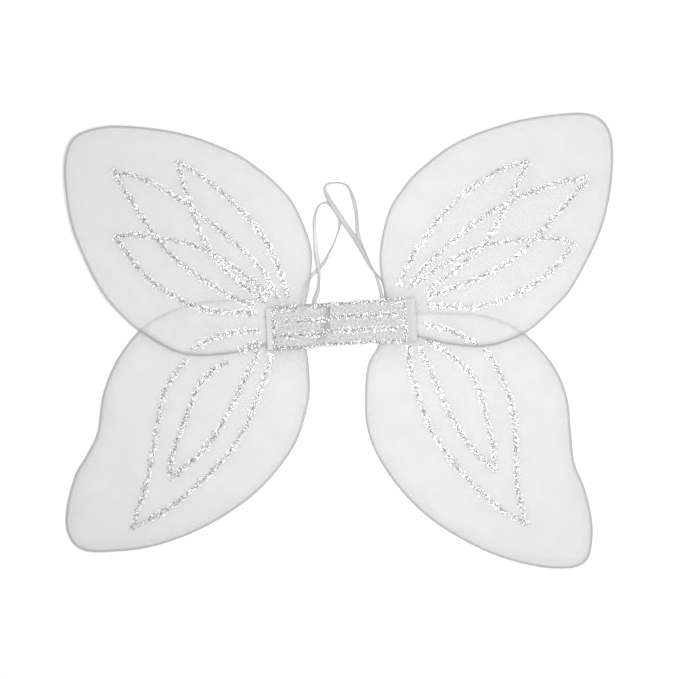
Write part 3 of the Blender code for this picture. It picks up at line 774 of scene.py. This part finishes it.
def make_sleeve(wing, partner):
    """Stocking bag over the wire loop: two sheer faces that wrap round the wire."""
    rim = wing.rim
    loose = sleeve_points(wing)
    plan = [Vector(p) for p in rim] + [Vector(p) for p in loose]
    found, _, triangles, origin, _, _ = delaunay_2d_cdt(plan, [], [list(range(len(rim)))], 1, 1e-6)
    flat = np.array([tuple(p) for p in found])
    at_rim = {}
    for index, sources in enumerate(origin):
        for source in sources:
            if source < len(rim):
                at_rim[source] = index
    distance = rim_distance(flat, rim)
    rise = nylon_height(distance)
    fold, fan, bunched = ridges(flat[:, 0], flat[:, 1], wing.centre)
    fold = fold * np.clip(distance / GATHER_START, 0, 1)
    cover = np.interp(distance, RIM_STEPS, RIM_COVER) + bunched * (GATHER_COVER[0] + GATHER_COVER[1] * fan)
    shade = np.interp(distance, RIM_STEPS, RIM_SHADE) + bunched * GATHER_SHADE * fan
    # painted light and shade: lighter where this nylon lies over or under the other wing, darker near its
    # own rim there
    within = np.clip(distance / OVERLAP_RIM, 0, 1)
    shade *= 1 + (overlap_painted_light(flat, partner.rim) - 1) * (2 * within - 1)
    shape = Shape("cover", "shade")
    faces = []
    for sign in (1, -1):
        heights = wing.z + sign * rise + fold
        points = [Vector((x, y, z)) for (x, y), z in zip(flat, heights)]
        faces.append(shape.add(points, cover=list(cover), shade=list(shade)))
    for first in faces:
        for corners in triangles:
            shape.face([first + i for i in corners], [tuple(flat[i]) for i in corners])
    previous = None
    for i, (point, along) in enumerate(zip(rim, tangents(rim))):
        outward = wing.turn * Vector((along.y, -along.x))
        arc = []
        for k in range(1, RIM_BENDS):
            angle = math.pi / 2 - math.pi * k / RIM_BENDS
            place = point + outward * (NYLON_AT_RIM * math.cos(angle))
            arc.append(Vector((place.x, place.y, wing.z + NYLON_AT_RIM * math.sin(angle))))
        start = shape.add(arc, cover=WRAP_COVER, shade=WRAP_SHADE)
        column = [faces[0] + at_rim[i], *range(start, start + len(arc)), faces[1] + at_rim[i]]
        if previous:
            for k in range(RIM_BENDS):
                corners = [previous[k], column[k], column[k + 1], previous[k + 1]]
                places = [shape.points[c] for c in corners]
                shape.face(corners, [(p.x, p.y) for p in places])
        previous = column
    replaced = [f"{wing.name}_sleeve"]
    sleeve = build(f"{wing.name}_nylon", shape, "nylon", replaced, wing.body, sharp=80)


def make_wire(wing):
    shape = Shape()
    tube(shape, raised(wing.wire, wing.z), WIRE_RADIUS, closed=True)
    build(f"{wing.name}_wire", shape, "coated_wire", [f"{wing.name}_wire_loop"], wing.body)


# ---- glitter


def glue_bead(shape, rng, path):
    """Low line of glue along a path that lies on a surface, with round ends."""
    path = evenly(path, BEAD_STEP)
    along = distances(path)
    count = len(path)
    half = BEAD_WIDTH / 2 * (1 + wander(rng, count, spread=0.25, every=3))
    tops = BEAD_HEIGHT * (1 + wander(rng, count, spread=0.3, every=2))
    sway = wander(rng, count, spread=0.4, every=4)
    from_end = np.minimum(along, along[-1] - along)
    taper = np.sqrt(np.clip(1 - (1 - np.minimum(from_end / (BEAD_WIDTH / 2), 1)) ** 2, 0.02, 1))
    rings = []
    for i, (point, direction) in enumerate(zip(path, tangents(path))):
        across = Vector((-direction.y, direction.x, 0)).normalized()
        centre = point + across * sway[i] * taper[i]
        ring = []
        for k in range(BEAD_SIDES + 1):
            angle = math.pi * k / BEAD_SIDES
            reach = math.cos(angle) * half[i] * taper[i]
            rise = math.sin(angle) ** 0.8 * tops[i] * taper[i] if 0 < k < BEAD_SIDES else -BEAD_SUNK
            ring.append(centre + across * reach + Vector((0, 0, rise)))
        rings.append(ring)
    loft(shape, rings)


def scatter_flakes(shape, rng, path, widen, clump=FLAKES_PER_CLUMP, bright=1.0):
    """Thin faceted flakes, sunk in the glue along a path or stuck beside it."""
    along = distances(path)
    clumps = int(along[-1] * FLAKES_PER_MM / clump)
    number = clumps * clump
    at = np.repeat(rng.uniform(0, along[-1], clumps), clump)
    at = np.clip(at + rng.normal(0, CLUMP_SPREAD, number), 0, along[-1])
    places = np.stack([np.interp(at, along, [p[axis] for p in path]) for axis in range(3)], 1)
    steps = np.stack([np.interp(at, along, [t[axis] for t in tangents(path)]) for axis in range(2)], 1)
    spread = FLAKE_SPREAD * np.interp(at, along, widen)
    reach = np.repeat(rng.normal(0, 1, clumps), clump) * spread
    reach = np.clip(reach + rng.normal(0, CLUMP_SPREAD, number), -FLAKE_LIMIT, FLAKE_LIMIT)
    places[:, 0] -= steps[:, 1] * reach
    places[:, 1] += steps[:, 0] * reach
    dome = np.sqrt(np.clip(1 - (reach / (BEAD_WIDTH / 2)) ** 2, 0, 1))
    places[:, 2] += FLAKE_GAP + BEAD_HEIGHT * dome + rng.uniform(*FLAKE_STRAY, number) * dome
    sizes = rng.uniform(*FLAKE_RADIUS, number)
    heading = rng.uniform(0, 2 * math.pi, number)
    tilt = FLAKE_TILT * rng.uniform(0, 1, number) ** 1.3 * (0.25 + 0.75 * dome)
    spin = rng.uniform(0, 2 * math.pi, number)
    # painted glint: one colour from dark to white for each clump, standing in for how it catches the light
    sparkle = np.repeat(rng.uniform(0, bright, clumps), clump)
    sparkle = np.clip(sparkle + rng.normal(0, PAINTED_GLINT_STRAY, number), 0, 1)
    top, bottom = FLAKE_CORNERS, FLAKE_CORNERS + 1
    for place, size, aim, lean, turn, glint in zip(places, sizes, heading, tilt, spin, sparkle):
        lie = Matrix.Rotation(aim, 3, "Z") @ Matrix.Rotation(lean, 3, "X") @ Matrix.Rotation(turn, 3, "Z")
        centre = Vector(place)
        points = []
        for k in range(FLAKE_CORNERS):
            angle = 2 * math.pi * k / FLAKE_CORNERS
            points.append(centre + lie @ Vector((size * math.cos(angle), size * math.sin(angle), 0)))
        for side in (FLAKE_POINT, -FLAKE_POINT):
            points.append(centre + lie @ Vector((0, 0, size * side)))
        first = shape.add(points, sparkle=float(glint))
        for k in range(FLAKE_CORNERS):
            m = (k + 1) % FLAKE_CORNERS
            for ends in ((k, m, top), (m, k, bottom)):
                uvs = [(points[e].x, points[e].y) for e in ends]
                shape.face([first + e for e in ends], uvs, slot=1, flat=True)


def make_wing_glitter(wing, piece, solid, lines, seed):
    rng = np.random.default_rng(seed)
    shape = Shape("sparkle")
    for i, line in enumerate(lines):
        flat = evenly(smooth(line, 6), BEAD_STEP)
        heights = wing.top(flat)
        path = [Vector((p.x, p.y, z + LINE_LIFT * i)) for p, z in zip(flat, heights)]
        glue_bead(shape, rng, path)
        to_root = [(p.to_2d() - wing.centre).length for p in path]
        scatter_flakes(shape, rng, path, np.interp(to_root, ROOT_RANGE, (ROOT_SPREAD, 1.0)))
    name, replaced = f"{wing.name}_{piece}", [f"{wing.name}_{solid}"]
    build(name, shape, "glitter_glue", replaced, wing.body)


# ---- the band


def front_surface(x, y):
    """Where a point of the flat front panel lies: its y, its top and how lit it is."""
    away = x - between(CREASE, y)
    rise = crumple(x, y, FRONT_CRUMPLE)
    slip = 0.0
    if away > 0:
        rise += CREASE_HEIGHT * math.exp(-away / CREASE_RIGHT)
    else:
        rise += CREASE_HEIGHT * max(0.0, 1 + away / CREASE_LEFT)
        rise += TUCK_HEIGHT * math.exp(-(((away + TUCK_AWAY) / TUCK_WIDTH) ** 2))
        slip = -CREASE_SLIP * min(1.0, -away / SLIP_REACH) * between(SLIP_SHARE, y)
    part = -away / between(PLEAT_WIDTH, y)
    shade = PANEL_SHADE - between(PLEAT_SHADE, y) * between(PLEAT_PROFILE, part)
    share = np.interp(abs(x), EDGE_SPANS["top" if y > 0 else "bottom"], (1, 0))
    fall = max(0.0, 1 - (BAND_HALF_WIDTH - abs(y)) / EDGE_ROLL)
    rise -= EDGE_DROP * share * (0.5 - 0.5 * math.cos(math.pi * fall))
    shade *= 1 + EDGE_GLOW * share * math.sin(math.pi * fall)
    return y + slip, FRONT_TOP + rise, shade


def slab(shape, columns, top_of, bottom_of):
    """Closed sheet of cloth over columns of (x, y) points."""
    rings = []
    shades = []
    for column in columns:
        found = [(x, *top_of(x, y)) for x, y in column]
        found += [(x, *bottom_of(x, y)) for x, y in reversed(column)]
        rings.append([Vector(place[:3]) for place in found])
        shades += [place[3] for place in found]
    loft(shape, rings, planar=True, shade=shades)


def panel_columns(side):
    """Columns of flat points between one end of the band and its middle, denser at the crease."""
    end = BAND_END[side]
    if side == "right":
        return [[(x, y) for y in BAND_HEIGHTS] for x in np.linspace(0, end, 40)]
    columns = []
    for part in np.linspace(0, 1, 40) ** 0.7:
        columns.append([(end + (between(CREASE, y) - end) * part, y) for y in BAND_HEIGHTS])
    for part in np.linspace(0, 1, 14)[1:] ** 1.4:
        columns.append([(between(CREASE, y) * (1 - part), y) for y in BAND_HEIGHTS])
    return columns


def make_panels(side):
    """Front and back cloth of one half of the band."""

    def front_bottom(x, y):
        new_y, z, shade = front_surface(x, y)
        return new_y, z - PANEL_THICKNESS, shade

    def back_top(x, y):
        return y, BACK_TOP + crumple(x, y, BACK_CRUMPLE), 1.0

    def back_bottom(x, y):
        return y, 0.0, 1.0

    for layer, top, bottom in (("front", front_surface, front_bottom), ("back", back_top, back_bottom)):
        shape = Shape("shade")
        slab(shape, panel_columns(side), top, bottom)
        replaced = [f"{layer}_panel_{side}", f"{layer}_panel_centre"]
        panel = build(f"{layer}_panel_cloth_{side}", shape, "panel_mesh", replaced)


def on_front(x, y):
    new_y, z, _ = front_surface(x, y)
    return Vector((x, new_y, z))


def make_band_glitter(side):
    rng = np.random.default_rng(BAND_SEEDS[side])
    shape = Shape("sparkle")
    paths = [[on_front(x, y) for x in np.linspace(left, right, 40)] for y, left, right in ROWS[side]]
    paths.append([on_front(COLUMN_X[side], y) for y in np.linspace(*COLUMN_ENDS, 20)])
    for path in paths:
        glue_bead(shape, rng, path)
        fine = evenly(path, BEAD_STEP)
        scatter_flakes(shape, rng, fine, [BAND_SPREAD] * len(fine), clump=1, bright=BAND_BRIGHT)
    replaced = [f"panel_glitter_centre_row_{n}" for n in range(1, 5)]
    replaced.append(f"panel_glitter_{side}_frame")
    replaced += [f"panel_glitter_{side}_row_{n}" for n in ROW_SOLIDS[side]]
    build(f"{side}_band_glitter", shape, "glitter_glue", replaced)


def make_spine(side):
    """Hairpin of wire from the middle of the band round the lashing and back."""
    start = Vector((0.0, SPINE_HALF_SPACING))
    end = Vector((0.0, -SPINE_HALF_SPACING))
    turn = eye_points(end, start, lashing_centre(side))
    path = evenly(raised([start, *turn, end], SPINE_Z), BEAD_STEP)
    shape = Shape()
    tube(shape, path, WIRE_RADIUS)
    replaced = [f"spine_wire_{side}", "spine_wire_centre_top", "spine_wire_centre_bottom"]
    build(f"{side}_spine_wire", shape, "coated_wire", replaced)


def make_lashing(side):
    """Core with thread wound round it."""
    low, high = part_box(f"{side}_root_lashing")
    centre = (low + high) / 2 / MM
    bottom = low.z / MM
    height = (high.z - low.z) / MM
    reach = LASHING_RADIUS - LASHING_THREAD
    steps = LASHING_TURNS * LASHING_CORNERS
    path = []
    for i in range(steps + 1):
        angle = 2 * math.pi * i / LASHING_CORNERS
        z = bottom + LASHING_MARGIN + (height - 2 * LASHING_MARGIN) * i / steps
        path.append(Vector((centre.x + reach * math.cos(angle), centre.y + reach * math.sin(angle), z)))
    shape = Shape()
    tube(shape, path, LASHING_THREAD, sides=6)
    core = [Vector((centre.x, centre.y, bottom + height * k / 6)) for k in range(7)]
    tube(shape, core, LASHING_RADIUS - LASHING_MARGIN, sides=16)
    replaced = [f"{side}_root_lashing"]
    build(f"{side}_lashing_thread", shape, "thread", replaced, f"{side}_side")


def make_seam(side):
    """Cloth tucked in along both edges of the middle, with a slanting stitch over each."""
    gusset_shape = Shape("shade")
    thread_shape = Shape()
    replaced = []
    for edge, way in (("top", 1), ("bottom", -1)):
        low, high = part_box(f"{edge}_seam_{side}")
        replaced += [f"{edge}_seam_{side}", f"{edge}_seam_centre"]
        reach = SEAM_REACH[edge]
        bottom, full = low.z / MM, high.z / MM - EDGE_DROP
        outer = high.y / MM if edge == "top" else low.y / MM
        rings = []
        for x in np.linspace(0, reach, 72):
            taper = min(1.0, SEAM_FOOT + (1 - SEAM_FOOT) * (reach - x) / SEAM_TAPER)
            tall = (full - bottom) * taper
            share, fast, slow = SEAM_CREASES
            tuck = SEAM_TUCK * (1 + share * math.sin(fast * x) * math.cos(slow * x))
            rings.append([
                Vector((SIGN[side] * x, outer - way * (depth + tucked * tuck), bottom + tall * part))
                for part, depth, tucked in SEAM_PROFILE
            ])
        loft(gusset_shape, rings)
        low_end, high_end = bottom + STITCH_MARGIN, full - STITCH_MARGIN
        for x in np.arange(STITCH_SPACING / 2, reach - SEAM_TAPER, STITCH_SPACING):
            stitch = []
            for t in np.linspace(0, 1, 8):
                z = low_end + (high_end - low_end) * t
                stitch.append(Vector((SIGN[side] * (x + STITCH_LEAN * t), outer - way * STITCH_SUNK, z)))
            tube(thread_shape, stitch, STITCH_RADIUS, sides=6)
    build(f"{side}_seam_gusset", gusset_shape, "panel_mesh", replaced)
    build(f"{side}_seam_stitching", thread_shape, "thread", replaced)


def make_end_tape(side):
    """Pale tape over the raw end of the front panel."""
    low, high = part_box(f"end_tape_{side}")
    left, right = low.x / MM, high.x / MM

    def lit(x):
        return between(TAPE_SHADE[side], (x - left) / (right - left))

    def top(x, y):
        new_y, z, _ = front_surface(x, y)
        return new_y, z + TAPE_THICKNESS + TAPE_WAVE * math.sin(y / 5), lit(x)

    def bottom(x, y):
        new_y, z, _ = front_surface(x, y)
        return new_y, z + TAPE_GAP, lit(x)

    shape = Shape("shade")
    columns = [[(x, y) for y in BAND_HEIGHTS] for x in np.linspace(left, right, 7)]
    slab(shape, columns, top, bottom)
    build(f"{side}_end_tape", shape, "end_tape", [f"end_tape_{side}"], f"{side}_side")


# ---- straps


def make_strap(side, route):
    """Ribbed elastic with thin selvedges, lying on the floor along its route."""
    path, turns, widths = [], [], []
    known = [(x * MM, y * MM, lift * MM, turn, width * MM) for x, y, lift, turn, width in route]
    for x, y, lift, turn, width in smooth(known, STRAP_STEPS):
        tip = math.radians(max(0.0, min(90.0, turn)))
        rest = (width * math.sin(tip) + STRAP_THICKNESS * math.cos(tip)) / 2 + STRAP_GAP
        path.append(Vector((x, y, max(lift, 0.0) + rest)))
        turns.append(tip)
        widths.append(width)
    shape = Shape("shade")
    rings = []
    shades = []
    samples = 4 * STRAP_RIBS
    reached = distances(path)
    lit = between(STRAP_SHADE[side], reached / reached[-1])
    for point, along, turn, width, tone in zip(path, tangents(path), turns, widths, lit):
        across = Vector((-along.y, along.x, 0)).normalized()
        upward = along.cross(across).normalized()
        flat = across * math.cos(turn) + upward * math.sin(turn)
        proud = upward * math.cos(turn) - across * math.sin(turn)
        ring = []
        for face in (1, -1):
            for k in range(samples + 1):
                part = face * (2 * k / samples - 1)
                rib = 0.5 - 0.5 * math.cos(math.pi * STRAP_RIBS * (part + 1))
                edge = min(1.0, (1 - abs(part)) * width / 2 / STRAP_EDGE)
                thick = STRAP_THICKNESS / 2 * (0.3 + 0.4 * edge + 0.3 * rib)
                ring.append((point + flat * (width / 2 * part) + proud * (face * thick)) / MM)
                # painted shade: darker in the valleys between the ribs; also darker toward the edges
                shades.append(tone * (0.6 + 0.4 * edge**2 * (0.85 + 0.15 * rib)))
        rings.append(ring)
    loft(shape, rings, shade=shades)
    replaced = [f"{side}_strap"]
    strap = build(f"{side}_elastic_strap", shape, "elastic", replaced)


def make_tacks(side):
    """Stitched ends of a strap between the panels."""
    for number in (1, 2):
        node = f"{side}_strap_tack_{number}"
        low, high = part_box(node)
        low, high = low / MM, high / MM
        shape = Shape()
        rings = []
        for part in np.linspace(0, 1, 9):
            y = low.y + (high.y - low.y) * part
            inset = TACK_PINCH * (2 * part - 1) ** 4
            corners = (
                (low.x + inset, low.z + 0.2), (low.x + TACK_BEVEL, low.z), (high.x - TACK_BEVEL, low.z),
                (high.x - inset, low.z + 0.2), (high.x - inset, high.z - 0.5),
                (high.x - TACK_BEVEL, high.z - 0.3), (low.x + TACK_BEVEL, high.z - 0.3),
                (low.x + inset, high.z - 0.5),
            )
            rings.append([Vector((x, y, z)) for x, z in corners])
        loft(shape, rings)
        zigzag = []
        for k in range(9):
            x = low.x + TACK_SIDE if k % 2 else high.x - TACK_SIDE
            y = low.y + TACK_MARGIN + (high.y - low.y - 2 * TACK_MARGIN) * k / 8
            zigzag.append(Vector((x, y, high.z - TACK_THREAD)))
        tube(shape, smooth(zigzag, 3), TACK_THREAD, sides=6)
        name = f"{side}_tack_stitching_{number}"
        build(name, shape, "thread", [node], f"{side}_side")


# ---- stage


def make_camera():
    data = bpy.data.cameras.new("camera")
    data.lens = CAMERA_LENS
    data.sensor_width = CAMERA_SENSOR
    camera = new_object("camera", data)
    camera.location = CAMERA_PLACE
    camera.rotation_euler = (0, 0, CAMERA_TURN)
    bpy.context.scene.camera = camera


def make_softbox():
    data = bpy.data.lights.new("softbox", "AREA")
    data.shape = "SQUARE"
    data.size = SOFTBOX_SIZE
    data.energy = SOFTBOX_WATTS
    light = new_object("softbox", data)
    light.location = SOFTBOX_PLACE
    light.visible_camera = False


def make_floor():
    corners = [(FLOOR_HALF * x, FLOOR_HALF * y, FLOOR_Z) for x, y in ((-1, -1), (1, -1), (1, 1), (-1, 1))]
    data = bpy.data.meshes.new("floor")
    data.from_pydata(corners, [], [(0, 1, 2, 3)])
    paint_floor()
    data.materials.append(MATERIALS["floor"][0])
    new_object("floor", data)


def make_sky():
    world = bpy.data.worlds.new("studio")
    world.use_nodes = True
    background = world.node_tree.nodes["Background"]
    background.inputs["Color"].default_value = (1, 1, 1, 1)
    background.inputs["Strength"].default_value = SKY_STRENGTH
    bpy.context.scene.world = world
    bpy.context.scene.view_settings.view_transform = "Standard"


# ---- everything

for paint_one in (
    paint_nylon, paint_wire, paint_panel, paint_tape,
    paint_glue, paint_flakes, paint_elastic, paint_thread,
):
    paint_one()

make_camera()
make_strap("left", LEFT_STRAP)
make_strap("right", RIGHT_STRAP)
make_floor()
make_sky()
make_softbox()

WINGS = {name: Wing(name, outline) for name, outline in OUTLINES.items()}
for side_name in SIGN:
    make_spine(side_name)
    make_lashing(side_name)
    make_panels(side_name)
    make_seam(side_name)
    make_end_tape(side_name)
    make_tacks(side_name)
for side_name in SIGN:
    for level, other in (("upper", "lower"), ("lower", "upper")):
        wing_here = WINGS[f"{level}_{side_name}"]
        make_wire(wing_here)
        make_sleeve(wing_here, WINGS[f"{other}_{side_name}"])
for order, (wing_name, *row) in enumerate(GLITTER):
    make_wing_glitter(WINGS[wing_name], *row, WING_SEED + order)
for side_name in SIGN:
    make_band_glitter(side_name)
